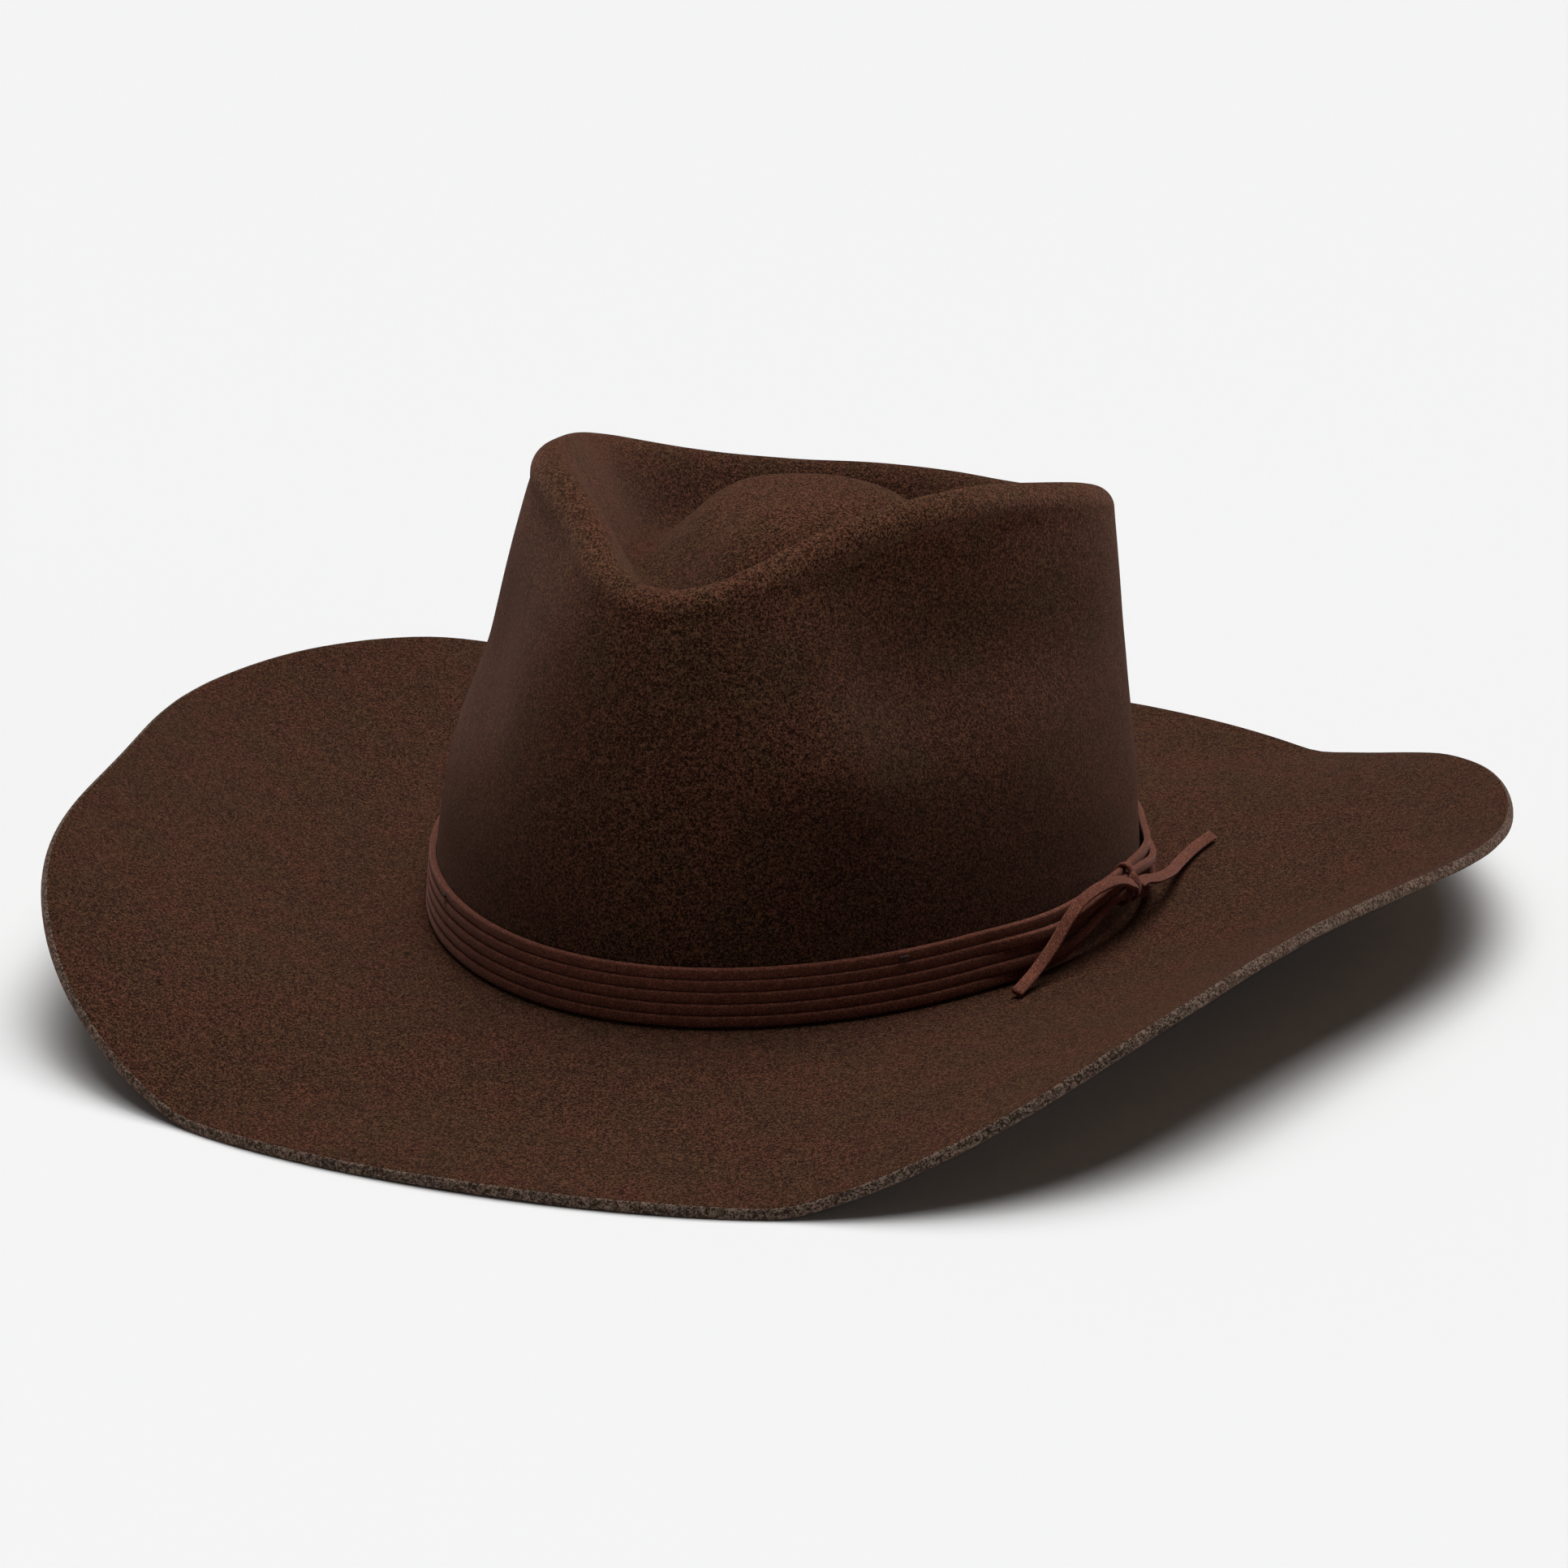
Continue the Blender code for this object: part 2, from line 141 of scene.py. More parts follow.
def rim_outward(angle):
    step = math.radians(0.5)
    ahead = rim_plan(angle + step) - rim_plan(angle - step)
    return unit(flat(ahead[..., 1], -ahead[..., 0]))


def with_height(points, height):
    return flat(points[..., 0], points[..., 1], height)


def dent_at(angle, share):
    """How deep the fingers' dents go into the wall."""
    total = 0.0
    signed = np.arctan2(np.sin(angle), np.cos(angle))
    for centre, spread, depth, level, above, below in DENTS:
        across = (np.degrees(signed) - centre) / spread
        along = (share - level) / np.where(share > level, above, below)
        total = total + depth * np.exp(-across * across - along * along)
    return total


def wall_at(angle, share):
    """The outside of the wall, from its foot (0) to the rim (1)."""
    foot, _ = foot_of(angle)
    top = rim_plan(angle) + rim_outward(angle) * RIM_RADIUS
    to_back = (1 - np.cos(angle)) / 2
    bulge = blend(FRONT_BULGE, BACK_BULGE, to_back)
    lean = share + bulge * share * (1 - share)
    point = foot + (top - foot) * lean[..., None]
    point = point - rim_outward(angle) * dent_at(angle, share)[..., None]
    low = BREAK_HEIGHT + BREAK_FILLET
    high = around(RIM_HEIGHT, angle) - RIM_RADIUS
    return with_height(point, blend(low, high, share))


def wall_at_height(angle, height):
    low = BREAK_HEIGHT + BREAK_FILLET
    high = around(RIM_HEIGHT, angle) - RIM_RADIUS
    share = np.maximum((height - low) / (high - low), 0.0)
    return with_height(wall_at(angle, share), height)


def island_point(angle, share):
    """The top of the crown, from its rim (0) over the crease to the island's middle (1)."""
    centre = np.array([0.0, MIDDLE_Y + ISLAND_BACK, 0.0])
    point = blend(rim_plan(angle), centre, share)
    low = around(CREASE_HEIGHT, angle)
    down = blend(around(RIM_HEIGHT, angle), low, ease(share / CREASE_SHARE))
    rise = ease((share - CREASE_SHARE) / (1 - CREASE_SHARE))
    up = blend(low, ISLAND_HEIGHT, 1 - (1 - rise) ** ISLAND_BREADTH)
    return with_height(point, np.where(share < CREASE_SHARE, down, up))


def rim_point(angle, turn):
    point = rim_plan(angle) + rim_outward(angle) * RIM_RADIUS * math.sin(turn)
    return with_height(point, around(RIM_HEIGHT, angle) - RIM_RADIUS * (1 - math.cos(turn)))


def fillet_point(angle, turn):
    foot, outward = foot_of(angle)
    point = foot + outward * BREAK_FILLET * (1 - math.cos(turn))
    return with_height(point, BREAK_HEIGHT + BREAK_FILLET * (1 - math.sin(turn)))


def settled(height):
    """The brim's height once the floor holds it up, eased where it meets the floor."""
    over = height - FELT
    soft = (over + SETTLE) ** 2 / (4 * SETTLE)
    over = np.where(np.abs(over) < SETTLE, soft, over)
    return FELT + np.maximum(over, 0.0)


def brim_point(angle, share, short=0.0):
    """Top of the brim, from its fillet (0) to its edge (1), which stops short by that much."""
    foot, outward = foot_of(angle)
    reach = blend(BREAK_FILLET, around(BRIM_REACH, angle) - short, share)
    full = reach / around(BRIM_REACH, angle)
    height = blend(BREAK_HEIGHT, around(EDGE_LIFT, angle), np.clip(full, 0, 1) ** BRIM_CURL)
    return with_height(foot + outward * reach[..., None], settled(height))


def steps(count, low=0.0, high=1.0):
    """count values that end at high and leave low out."""
    return [blend(low, high, (index + 1) / count) for index in range(count)]


# Mesh helpers


def whole_turn(count):
    return np.arange(count) * 2 * math.pi / count


def mesh_object(name, points, faces, materials, indices=None, smooth=True):
    data = bpy.data.meshes.new(name)
    data.from_pydata([tuple(p) for p in points], [], faces)
    made = bpy.data.objects.new(name, data)
    bpy.context.scene.collection.objects.link(made)
    for finish in materials:
        data.materials.append(finish)
    if indices is not None:
        data.polygons.foreach_set("material_index", indices)
    if smooth:
        data.shade_smooth()
    data.update()
    return made


def ring_faces(rows, count, closed_rows=False):
    """Faces between rings of count points each; closed_rows joins the last ring to the first."""
    faces = []
    for row in range(rows if closed_rows else rows - 1):
        a = row * count
        b = (row + 1) % rows * count
        for index in range(count):
            after = (index + 1) % count
            faces.append((a + index, b + index, b + after, a + after))
    return faces


def grid_normals(rows):
    """Outward normals of a (row, meridian) grid of points whose rows go from the top down."""
    around_step = np.roll(rows, -1, axis=1) - np.roll(rows, 1, axis=1)
    down_step = np.gradient(rows, axis=0)
    return unit(np.cross(down_step, around_step))


def ride(piece, slot_name, *nodes):
    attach(piece, "root")
    if nodes:
        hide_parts(*nodes)
    return piece


# Materials


class Shade:
    """A Principled material being wired."""

    def __init__(self, name, roughness=0.9):
        self.material = bpy.data.materials.new(name)
        self.material.use_nodes = True
        self.tree = self.material.node_tree
        self.shader = self.tree.nodes["Principled BSDF"]
        self.shader.inputs["Roughness"].default_value = roughness
        self.place = self.add("ShaderNodeTexCoord").outputs["Object"]

    def add(self, kind, **settings):
        node = self.tree.nodes.new(kind)
        for key, value in settings.items():
            setattr(node, key, value)
        return node

    def link(self, source, target):
        self.tree.links.new(source, target)

    def stretched(self, scale):
        node = self.add("ShaderNodeMapping")
        self.link(self.place, node.inputs["Vector"])
        node.inputs["Scale"].default_value = scale
        return node.outputs["Vector"]

    def noise(self, scale, detail=2.0, rough=0.5, distortion=0.0, vector=None):
        node = self.add("ShaderNodeTexNoise")
        self.link(vector or self.place, node.inputs["Vector"])
        node.inputs["Scale"].default_value = scale
        node.inputs["Detail"].default_value = detail
        node.inputs["Roughness"].default_value = rough
        node.inputs["Distortion"].default_value = distortion
        return node.outputs["Fac"]

    def ramp(self, source, stops):
        node = self.add("ShaderNodeValToRGB")
        self.link(source, node.inputs["Fac"])
        while len(node.color_ramp.elements) < len(stops):
            node.color_ramp.elements.new(0.5)
        for element, (position, colour) in zip(node.color_ramp.elements, stops):
            element.position = position
            element.color = (*colour, 1)
        return node.outputs["Color"]

    def mix(self, share, one, two, mode="MIX"):
        node = self.add("ShaderNodeMix", data_type="RGBA", blend_type=mode)
        for value, socket in ((share, node.inputs[0]), (one, node.inputs[6]), (two, node.inputs[7])):
            if isinstance(value, bpy.types.NodeSocket):
                self.link(value, socket)
            elif isinstance(value, float):
                socket.default_value = value
            else:
                socket.default_value = (*value, 1)
        return node.outputs[2]

    def math(self, operation, one, two):
        node = self.add("ShaderNodeMath", operation=operation)
        for value, socket in ((one, node.inputs[0]), (two, node.inputs[1])):
            if isinstance(value, bpy.types.NodeSocket):
                self.link(value, socket)
            else:
                socket.default_value = value
        return node.outputs[0]

    def bump(self, height, strength, distance, below=None):
        node = self.add("ShaderNodeBump")
        node.inputs["Strength"].default_value = strength
        node.inputs["Distance"].default_value = distance
        self.link(height, node.inputs["Height"])
        if below:
            self.link(below, node.inputs["Normal"])
        return node.outputs["Normal"]

    def height(self, low, high):
        """0 to 1 as the height above the floor goes from low to high."""
        parts = self.add("ShaderNodeSeparateXYZ")
        self.link(self.place, parts.inputs[0])
        node = self.add("ShaderNodeMapRange")
        self.link(parts.outputs["Z"], node.inputs["Value"])
        node.inputs["From Min"].default_value = low
        node.inputs["From Max"].default_value = high
        return node.outputs["Result"]

    def colour(self, source):
        self.link(source, self.shader.inputs["Base Color"])

    def normal(self, source):
        self.link(source, self.shader.inputs["Normal"])

    def sheen(self, weight, roughness, tint):
        self.shader.inputs["Sheen Weight"].default_value = weight
        self.shader.inputs["Sheen Roughness"].default_value = roughness
        self.shader.inputs["Sheen Tint"].default_value = (*tint, 1)


def grey(value):
    return (value, value, value)


# Between these heights the felt is painted lighter: painted light on the crown's rim and dome, which face
# the light from above
PAINTED_LIGHT_LOW = 0.094
PAINTED_LIGHT_HIGH = 0.112
PAINTED_LIGHT_GAIN = 1.45
FLECK_OLIVE = (0.975, 1.03, 0.99)
FLECK_ROSE = (1.03, 0.975, 1.015)
FINE_SHARE = 0.72


def felt_material(name, dark, middle, light, cast_a, cast_b, fibre=1900.0, lift=1.0, nap=1.0):
    """Pressed wool: short fibres in a few shades, in soft patches, with a faint nap. The nap argument sets
    painted light: how much lighter the felt grows towards the crown's rim and dome.
    """
    shade = Shade(name, roughness=0.95)
    fine = shade.noise(fibre, 2.0, 0.6, 1.1)
    coarse = shade.noise(fibre / 2.6, 3.0, 0.65, 2.0)
    patches = shade.noise(60.0, 4.0, 0.6)
    flecks = shade.noise(fibre / 2.2, 1.0, 0.5, 0.6)
    fibres = shade.math(
        "ADD",
        shade.math("MULTIPLY", fine, FINE_SHARE),
        shade.math("MULTIPLY", coarse, 1 - FINE_SHARE),
    )
    colour = shade.ramp(fibres, ((0.44, dark), (0.50, middle), (0.57, light)))
    cast = shade.ramp(patches, ((0.40, cast_a), (0.60, cast_b)))
    tinted = shade.mix(1.0, colour, cast, "MULTIPLY")
    fleck = shade.ramp(flecks, ((0.44, FLECK_OLIVE), (0.56, FLECK_ROSE)))
    tinted = shade.mix(1.0, tinted, fleck, "MULTIPLY")
    # Painted light: the colour grows lighter with height, up to nap times, on the crown's rim and dome
    painted_top_light = shade.ramp(shade.height(PAINTED_LIGHT_LOW, PAINTED_LIGHT_HIGH), ((0.0, grey(1.0)), (1.0, grey(nap))))
    shade.colour(shade.mix(1.0, tinted, painted_top_light, "MULTIPLY"))
    soft = shade.noise(210.0, 3.0, 0.5)
    normal = shade.bump(soft, 0.22 * lift, 0.0012)
    normal = shade.bump(coarse, 0.35 * lift, 0.0006, normal)
    shade.normal(shade.bump(fine, 0.55 * lift, 0.0004, normal))
    shade.sheen(0.15, 0.5, (1.0, 0.56, 0.42))
    shade.shader.inputs["Specular IOR Level"].default_value = 0.03
    return shade.material


FELT_TOP = felt_material(
    "brushed_brown_felt",
    (0.0086, 0.0031, 0.0016),
    (0.0345, 0.0134, 0.0071),
    (0.1140, 0.0500, 0.0290),
    (1.08, 0.98, 0.98),
    (0.92, 1.0, 0.92),
    # nap here is painted light that makes the crown's rim and dome lighter
    nap=PAINTED_LIGHT_GAIN,
)
FELT_EDGE = felt_material(
    "raw_felt_edge",
    (0.030, 0.018, 0.012),
    (0.085, 0.055, 0.040),
    (0.20, 0.14, 0.105),
    (1.0, 1.0, 1.0),
    (0.9, 0.95, 1.0),
    fibre=1300.0,
    lift=1.4,
)
FELT_UNDER = felt_material(
    "olive_felt_underside",
    (0.040, 0.022, 0.0115),
    (0.085, 0.047, 0.0255),
    (0.160, 0.094, 0.054),
    (1.05, 1.0, 0.9),
    (0.92, 1.0, 0.95),
    fibre=1500.0,
    lift=1.3,
)


def suede_material():
    shade = Shade("red_brown_suede", roughness=0.9)
    nap = shade.noise(2600.0, 3.0, 0.6, 0.8)
    patch = shade.noise(320.0, 2.0, 0.5)
    dark = (0.060, 0.016, 0.0085)
    middle = (0.145, 0.042, 0.0235)
    light = (0.29, 0.105, 0.064)
    colour = shade.ramp(nap, ((0.36, dark), (0.52, middle), (0.66, light)))
    cast = shade.ramp(patch, ((0.35, grey(0.88)), (0.65, grey(1.08))))
    shade.colour(shade.mix(1.0, colour, cast, "MULTIPLY"))
    normal = shade.bump(patch, 0.2, 0.0003)
    shade.normal(shade.bump(nap, 0.4, 0.00015, normal))
    shade.sheen(0.45, 0.45, (0.75, 0.42, 0.34))
    shade.shader.inputs["Specular IOR Level"].default_value = 0.2
    return shade.material


def leather_material():
    shade = Shade("sweatband_leather", roughness=0.5)
    grain = shade.add("ShaderNodeTexVoronoi", feature="DISTANCE_TO_EDGE")
    grain.inputs["Scale"].default_value = 900.0
    shade.link(shade.place, grain.inputs["Vector"])
    wear = shade.noise(60.0, 4.0, 0.6)
    colour = shade.ramp(wear, ((0.3, (0.060, 0.026, 0.013)), (0.7, (0.115, 0.055, 0.028))))
    shade.colour(colour)
    shade.normal(shade.bump(grain.outputs["Distance"], 0.35, 0.0002))
    shade.link(shade.ramp(wear, ((0.3, grey(0.42)), (0.7, grey(0.6)))), shade.shader.inputs["Roughness"])
    return shade.material


def thread_material():
    shade = Shade("dark_thread", roughness=0.75)
    twist = shade.noise(3000.0, 1.0, 0.5, vector=shade.stretched((1.0, 1.0, 0.3)))
    shade.colour(shade.ramp(twist, ((0.35, (0.012, 0.006, 0.005)), (0.65, (0.035, 0.017, 0.013)))))
    shade.normal(shade.bump(twist, 0.5, 0.0001))
    return shade.material


SUEDE = suede_material()
LEATHER = leather_material()
THREAD = thread_material()


# The felt


ISLAND_ROWS = 34
RIM_ROWS = 10
WALL_ROWS = 46
FILLET_ROWS = 4
BRIM_ROWS = 44
EDGE_BULGE = 0.0007
EDGE_ROWS = 5
EDGE_ROUNDING = 0.6
WANDER = 0.00045
WANDER_FROM = 0.028
WANDER_OVER = 0.010
TOP, EDGE, UNDER = range(3)


def wander(points):
    """Slight unevenness from hand shaping, the same on both sides of the felt, from -1.4 to 1.4."""
    shift = np.zeros(points.shape[:-1])
    for index in np.ndindex(shift.shape):
        place = Vector(points[index])
        shift[index] = noise.noise(place * 22.0) + 0.4 * noise.noise(place * 61.0)
    return shift


def make_felt():
    angle = whole_turn(MERIDIANS)
    quarter = math.pi / 2
    rows = [island_point(angle, 1 - share) for share in steps(ISLAND_ROWS)[:-1]]
    rows += [rim_point(angle, turn) for turn in [0.0, *steps(RIM_ROWS, 0.0, quarter)]]
    rows += [wall_at(angle, np.full_like(angle, 1 - share)) for share in steps(WALL_ROWS)]
    rows += [fillet_point(angle, turn) for turn in steps(FILLET_ROWS, 0.0, quarter)]
    first_brim = len(rows)
    rows += [brim_point(angle, share, EDGE_BULGE) for share in steps(BRIM_ROWS)]
    top = np.array(rows)
    normals = grid_normals(top)
    height = top[..., 2]
    amount = WANDER * ease((height - WANDER_FROM) / WANDER_OVER)
    brim_share = np.zeros(len(rows))
    brim_share[first_brim:] = np.linspace(0, 1, len(rows) - first_brim)
    amount = np.where(brim_share[:, None] > 0, WANDER * ease(brim_share[:, None] * 5), amount)
    top = top + normals * (wander(top) * amount)[..., None]
    top[first_brim:, :, 2] = np.maximum(top[first_brim:, :, 2], FELT)
    normals = grid_normals(top)
    bottom = top - normals * FELT
    bottom[..., 2] = np.maximum(bottom[..., 2], 0.0)

    middle = (top[-1] + bottom[-1]) / 2
    half = (top[-1] - bottom[-1]) / 2
    outward = unit(np.cross(np.roll(top[-1], -1, axis=0) - np.roll(top[-1], 1, axis=0), half))
    edge = []
    for turn in steps(EDGE_ROWS + 1, -quarter, quarter)[:-1]:
        swell = EDGE_BULGE * abs(math.cos(turn)) ** EDGE_ROUNDING
        edge.append(middle - half * math.sin(turn) + outward * swell)
    rings = np.concatenate([top, np.array(edge), bottom[::-1]])
    count = MERIDIANS
    faces = ring_faces(len(rings), count)
    kinds = []
    for row in range(len(rings) - 1):
        if row < len(top) - 1:
            kind = TOP
        elif row <= len(top) - 1 + EDGE_ROWS:
            kind = EDGE
        else:
            kind = UNDER
        kinds += [kind] * count
    points = rings.reshape(-1, 3)
    poles = [island_point(angle[:1], 1.0)[0]]
    poles.append(poles[0] - np.array([0, 0, FELT]))
    points = np.concatenate([points, poles])
    last = (len(rings) - 1) * count
    for index in range(count):
        after = (index + 1) % count
        faces.append((len(points) - 2, index, after))
        faces.append((len(points) - 1, last + after, last + index))
        kinds += [TOP, UNDER]
    made = mesh_object("felt_hat", points, faces, [FELT_TOP, FELT_EDGE, FELT_UNDER], kinds)
    return ride(made, "felt", "felt_body")


# The lace


LACE_PITCH = LACE_WIDTH + FIT_GAP
ON_CROWN = FIT_GAP + LACE_THICKNESS / 2
IN_KNOT = ON_CROWN + WRAP_THICKNESS + WRAP_SLACK + FIT_GAP
LAYER = LACE_THICKNESS + FIT_GAP

# The strips seen are a little plumper than the CAD's: width, thickness and corner of each
TURN_STRIP = (0.00285, 0.0016, 0.0006)
KNOT_STRIP = (0.0028, 0.0011, 0.00045)
TAIL_STRIP = (0.0030, 0.0013, 0.00045)
TURN_POINTS = 720
WRAP_POINTS = 64
WRAP_ROOM = 0.0005
WRAP_LEAN = 0.0008
LOOP_LIFT = 0.0006
LOOP_HALF_TALL = 0.0030
LOOP_STEP = 0.0003
TAIL_STEP = 0.0008


def gather(angle):
    away = angle - KNOT_ANGLE
    reach = np.where(away > 0, GATHER_BACK, GATHER_FRONT)
    return np.clip(1 - (np.abs(away) - KNOT_SPREAD) / reach, 0.0, 1.0)


def turn_point(turn, angle):
    share = gather(angle)
    outward_share = ease(2 * share)
    upward_share = ease(2 * share - 1)
    plain = BREAK_HEIGHT + LACE_LIFT + LACE_PITCH * (TURNS - turn - 0.5)
    bunched = KNOT_HEIGHT + LACE_PITCH / 2 * ((TURNS - 1) / 2 - turn)
    height = blend(plain, bunched, upward_share)
    layer = LAYER if turn % 2 else 0.0
    away = blend(ON_CROWN, IN_KNOT + layer, outward_share)
    on_wall = wall_at_height(angle, height)
    in_knot = wall_at_height(angle, np.full_like(angle, KNOT_HEIGHT))
    point = blend(on_wall, in_knot, outward_share[..., None])
    point = point + foot_of(angle)[1] * away[..., None]
    return with_height(point, height)


def strip_section(width, thickness, corner, per_corner=3):
    """Outline of a flat strip with rounded corners: (across its thickness, along its width)."""
    outline = []
    for quadrant in range(4):
        x_sign = 1 if quadrant in (0, 3) else -1
        y_sign = 1 if quadrant in (0, 1) else -1
        for index in range(per_corner + 1):
            turn = quadrant * math.pi / 2 + math.pi / 2 * index / per_corner
            outline.append(
                (
                    x_sign * (thickness / 2 - corner) + corner * math.cos(turn),
                    y_sign * (width / 2 - corner) + corner * math.sin(turn),
                )
            )
    return np.array(outline)


def sweep(name, centres, face, section, closed, finish, swell=0.00006, seed=0.0):
    """A strip along centres whose flat side looks the way face says, with a slightly uneven skin."""
    centres = np.asarray(centres)
    if closed:
        ahead = unit(np.roll(centres, -1, axis=0) - np.roll(centres, 1, axis=0))
    else:
        ahead = unit(np.gradient(centres, axis=0))
    face = np.broadcast_to(face, centres.shape)
    face = unit(face - ahead * np.sum(face * ahead, axis=-1, keepdims=True))
    side = np.cross(ahead, face)
    rings = (
        centres[:, None, :]
        + face[:, None, :] * section[None, :, :1]
        + side[:, None, :] * section[None, :, 1:]
    )
    out = unit(rings - centres[:, None, :])
    for index in np.ndindex(rings.shape[:2]):
        place = Vector(rings[index]) * 900.0 + Vector((seed, 0, 0))
        rings[index] += out[index] * swell * noise.noise(place)
    count = len(section)
    faces = ring_faces(len(rings), count, closed)
    if not closed:
        faces.append(tuple(range(count)))
        faces.append(tuple(range(len(rings) * count - 1, (len(rings) - 1) * count - 1, -1)))
    made = mesh_object(name, rings.reshape(-1, 3), faces, [finish])
    fix_facing(made)
    return made


def fix_facing(made):
    """Turns the faces outward if the mesh is inside out."""
    volume = 0.0
    points = made.data.vertices
    for face in made.data.polygons:
        first = points[face.vertices[0]].co
        for one, two in zip(face.vertices[1:], face.vertices[2:]):
            volume += first.dot(points[one].co.cross(points[two].co))
    if volume < 0:
        made.data.flip_normals()


def make_turns():
    section = strip_section(*TURN_STRIP)
    angle = whole_turn(TURN_POINTS)
    outward = foot_of(angle)[1]
    for turn in range(TURNS):
        centres = turn_point(turn, angle)
        made = sweep(f"suede_turn_{turn + 1}", centres, outward, section, True, SUEDE, seed=turn * 7.0)
        ride(made, "suede", f"lace_turn_{turn + 1}")


def knot_frame():
    angle = np.array([KNOT_ANGLE])
    outward = foot_of(angle)[1][0]
    along = np.array([-outward[1], outward[0], 0.0])
    centre = wall_at_height(angle, np.array([KNOT_HEIGHT]))[0] + outward * (IN_KNOT + LAYER / 2)
    return centre, outward, along


def smooth_route(points, spacing):
    points = [np.array(point, float) for point in points]
    ends = [points[0] * 2 - points[1], *points, points[-1] * 2 - points[-2]]
    route = []
    for before, start, stop, after in zip(ends, ends[1:], ends[2:], ends[3:]):
        count = max(round(np.linalg.norm(stop - start) / spacing), 1)
        for index in range(count):
            t = index / count
            route.append(
                0.5
                * (
                    2 * start
                    + (stop - before) * t
                    + (2 * before - 5 * start + 4 * stop - after) * t**2
                    + (3 * start - before - 3 * stop + after) * t**3
                )
            )
    return np.array([*route, points[-1]])


# Where the two ends of the lace run, from the middle of the knot's loop
TAIL_FRONT_ROUTE = (
    (0.0000, -0.0018, 0.0008),
    (-0.0014, -0.0088, 0.0040),
    (-0.0029, -0.0172, 0.0054),
    (-0.0047, -0.0265, 0.0050),
    (-0.0063, -0.0336, 0.0022),
    (-0.0082, -0.0405, -0.0033),
    (-0.0102, -0.0485, -0.0078),
    (-0.0116, -0.0585, -0.0102),
)
TAIL_BACK_ROUTE = (
    (0.0000, 0.0018, 0.0000),
    (-0.0003, 0.0079, -0.0010),
    (0.0001, 0.0170, -0.0035),
    (-0.0009, 0.0310, -0.0065),
    (-0.0028, 0.0450, -0.0086),
    (-0.0033, 0.0590, -0.0094),
    (-0.0021, 0.0708, -0.0094),
)


def make_knot_and_tails():
    centre, outward, along = knot_frame()
    half_depth = (LACE_THICKNESS + LAYER) / 2 + FIT_GAP
    loop_centre = centre + outward * (half_depth + WRAP_THICKNESS + FIT_GAP + LOOP_LIFT)
    half_tall = (LACE_WIDTH + LACE_PITCH * (TURNS - 1) / 2) / 2 + 2 * FIT_GAP
    depth = half_depth + WRAP_ROOM
    ring = []
    for index in range(WRAP_POINTS):
        turn = 2 * math.pi * index / WRAP_POINTS
        out = math.copysign(abs(math.cos(turn)) ** 0.7, math.cos(turn)) * depth
        up = math.copysign(abs(math.sin(turn)) ** 0.8, math.sin(turn)) * half_tall
        lean = along * (WRAP_LEAN * math.sin(turn))
        ring.append(centre + outward * out + np.array([0, 0, up]) + lean)
    ring = np.array(ring)
    face = unit(ring - centre)
    section = strip_section(*KNOT_STRIP)
    wrap = sweep("suede_knot_wrap", ring, face, section, True, SUEDE, seed=51.0)
    ride(wrap, "suede", "lace_knot_wrap")

    tall = LOOP_HALF_TALL
    path = [
        loop_centre + np.array([0, 0, tall]) - outward * 0.0012 - along * 0.0016,
        loop_centre + np.array([0, 0, tall * 0.6]) + outward * 0.0001 - along * 0.0008,
        loop_centre + np.array([0, 0, -tall * 0.1]) + outward * 0.0003,
        loop_centre + np.array([0, 0, -tall * 0.8]) + along * 0.0008,
        loop_centre + np.array([0, 0, -tall * 1.25]) - outward * 0.0014 + along * 0.0014,
    ]
    loop = sweep("suede_knot_loop", smooth_route(path, LOOP_STEP), outward, section, False, SUEDE, seed=63.0)
    ride(loop, "suede", "lace_knot_loop")

    strip = strip_section(*TAIL_STRIP)
    tails = (
        ("suede_tail_front", "lace_tail_front", TAIL_FRONT_ROUTE, (0.35, -0.55, 0.75), 45.0),
        ("suede_tail_back", "lace_tail_back", TAIL_BACK_ROUTE, (0.55, -0.25, 0.8), 42.0),
    )
    for name, node, offsets, face, seed in tails:
        route = smooth_route([loop_centre + np.array(offset) for offset in offsets], TAIL_STEP)
        tail = sweep(name, route, unit(np.array(face)), strip, False, SUEDE, seed=seed)
        ride(tail, "suede", node)


# The sweatband and the small sewing


def make_sweatband():
    low = BREAK_HEIGHT - FELT + FIT_GAP
    angle = whole_turn(MERIDIANS)
    outward = foot_of(angle)[1]
    rows = []
    for height in np.linspace(low + SWEATBAND_WIDTH, low, 24):
        point = wall_at_height(angle, np.full_like(angle, height))
        rows.append(point - outward * (FELT + SWEATBAND_EASE))
    outer = np.array(rows)
    inner = outer - outward[None] * SWEATBAND_THICKNESS
    rings = np.concatenate([outer, inner[::-1]])
    faces = ring_faces(len(rings), MERIDIANS, True)
    band = mesh_object("leather_sweatband", rings.reshape(-1, 3), faces, [LEATHER])
    fix_facing(band)
    ride(band, "sweatband_leather", "sweatband")
    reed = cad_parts["sweatband_reed"]
    reed.data.materials.clear()
    reed.data.materials.append(LEATHER)
    for node in ["sweatband_bow", *(f"band_tack_{index}" for index in range(1, 5))]:
        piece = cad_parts[node]
        piece.data.materials.clear()
        piece.data.materials.append(THREAD)


make_felt()
make_turns()
make_knot_and_tails()
make_sweatband()


# The floor, the light and the camera


def make_floor():
    bpy.ops.mesh.primitive_plane_add(size=14.0, location=(0, 0, 0))
    floor = bpy.context.object
    floor.name = "floor"
    shade = Shade("pale_floor", roughness=0.9)
    shade.shader.inputs["Base Color"].default_value = (0.9, 0.9, 0.9, 1)
    shade.shader.inputs["Specular IOR Level"].default_value = 0.1
    floor.data.materials.append(shade.material)


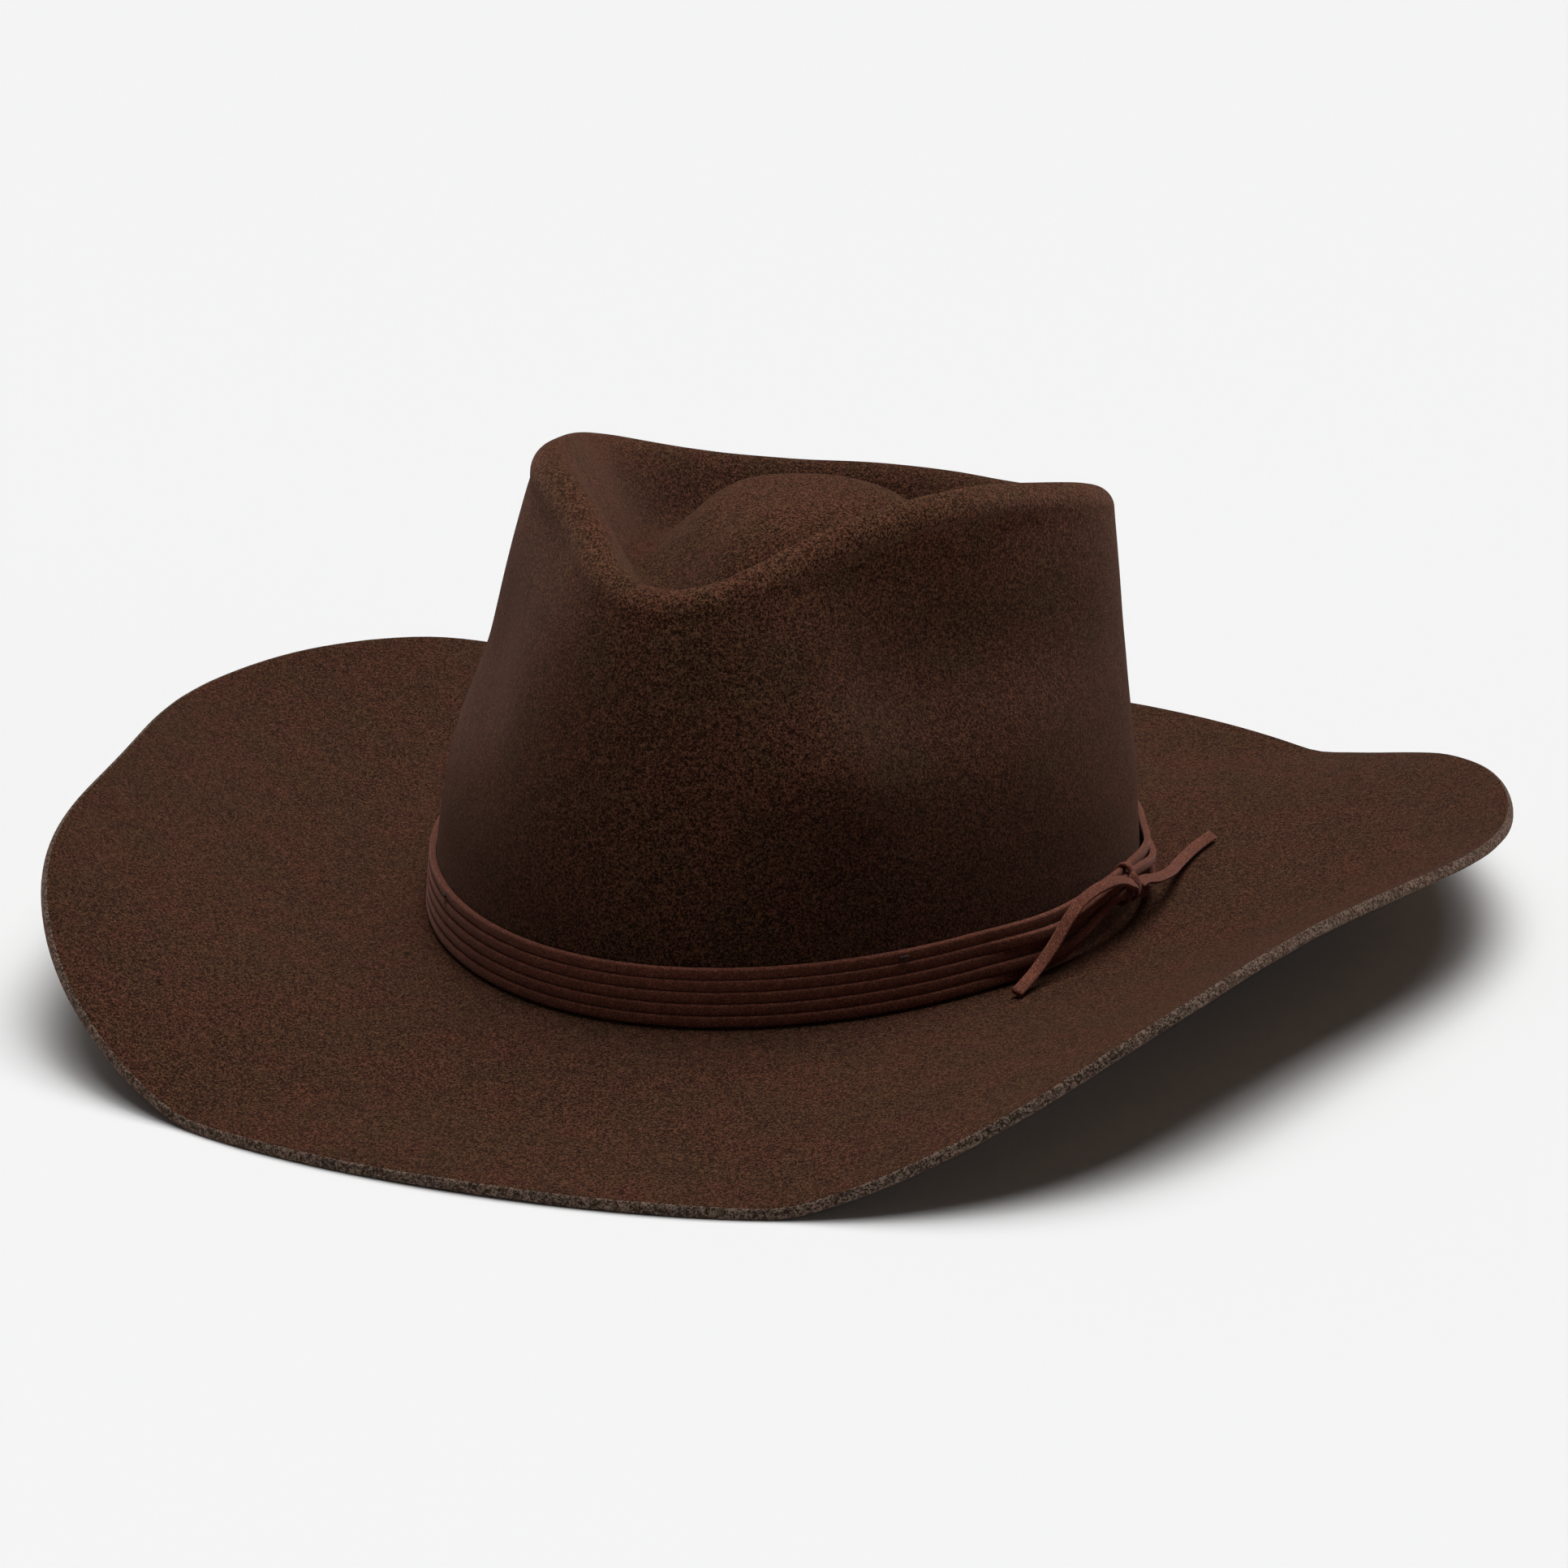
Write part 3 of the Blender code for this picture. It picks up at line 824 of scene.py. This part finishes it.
def sun(name, azimuth, elevation, strength, softness):
    """A soft studio light that comes from that side: azimuth from the front (-Y) towards +X."""
    data = bpy.data.lights.new(name, "SUN")
    data.energy = strength
    data.angle = math.radians(softness)
    lamp = bpy.data.objects.new(name, data)
    bpy.context.scene.collection.objects.link(lamp)
    a, e = math.radians(azimuth), math.radians(elevation)
    source = Vector((math.sin(a) * math.cos(e), -math.cos(a) * math.cos(e), math.sin(e)))
    lamp.rotation_euler = source.to_track_quat("Z", "Y").to_euler()


def make_light():
    world = bpy.data.worlds.new("studio")
    bpy.context.scene.world = world
    world.use_nodes = True
    back = world.node_tree.nodes["Background"]
    back.inputs["Color"].default_value = (0.97, 0.985, 1.0, 1)
    back.inputs["Strength"].default_value = 0.02
    sun("key", 165.0, 66.0, 1.00, 40.0)
    sun("back", 190.0, 64.0, 0.98, 36.0)
    sun("top", 0.0, 90.0, 1.12, 40.0)
    sun("high_front_left", 315.0, 68.0, 0.08, 40.0)
    sun("high_back_left", 235.0, 60.0, 0.08, 40.0)
    sun("low_front_left", 315.0, 24.0, 0.05, 44.0)
    sun("low_back_left", 225.0, 20.0, 0.08, 40.0)
    sun("low_right", 75.0, 14.0, 0.14, 40.0)
    bpy.context.scene.view_settings.view_transform = "Standard"


CAMERA_AZIMUTH = math.radians(21.517)
CAMERA_ELEVATION = math.radians(18.491)
CAMERA_DISTANCE = 1.48419
CAMERA_AIM_HEIGHT = 0.036415
CAMERA_AIM_RIGHT = 0.002163
SENSOR = 36.0
LENS = 132.2560


def make_camera():
    a, e = CAMERA_AZIMUTH, CAMERA_ELEVATION
    back = Vector((math.sin(a) * math.cos(e), -math.cos(a) * math.cos(e), math.sin(e)))
    right = Vector((math.cos(a), math.sin(a), 0))
    aim = Vector((0, MIDDLE_Y, CAMERA_AIM_HEIGHT)) + right * CAMERA_AIM_RIGHT
    data = bpy.data.cameras.new("camera")
    data.sensor_width = SENSOR
    data.lens = LENS
    camera = bpy.data.objects.new("camera", data)
    bpy.context.scene.collection.objects.link(camera)
    camera.location = aim + back * CAMERA_DISTANCE
    camera.rotation_euler = back.to_track_quat("Z", "Y").to_euler()
    bpy.context.scene.camera = camera


make_floor()
make_light()
make_camera()
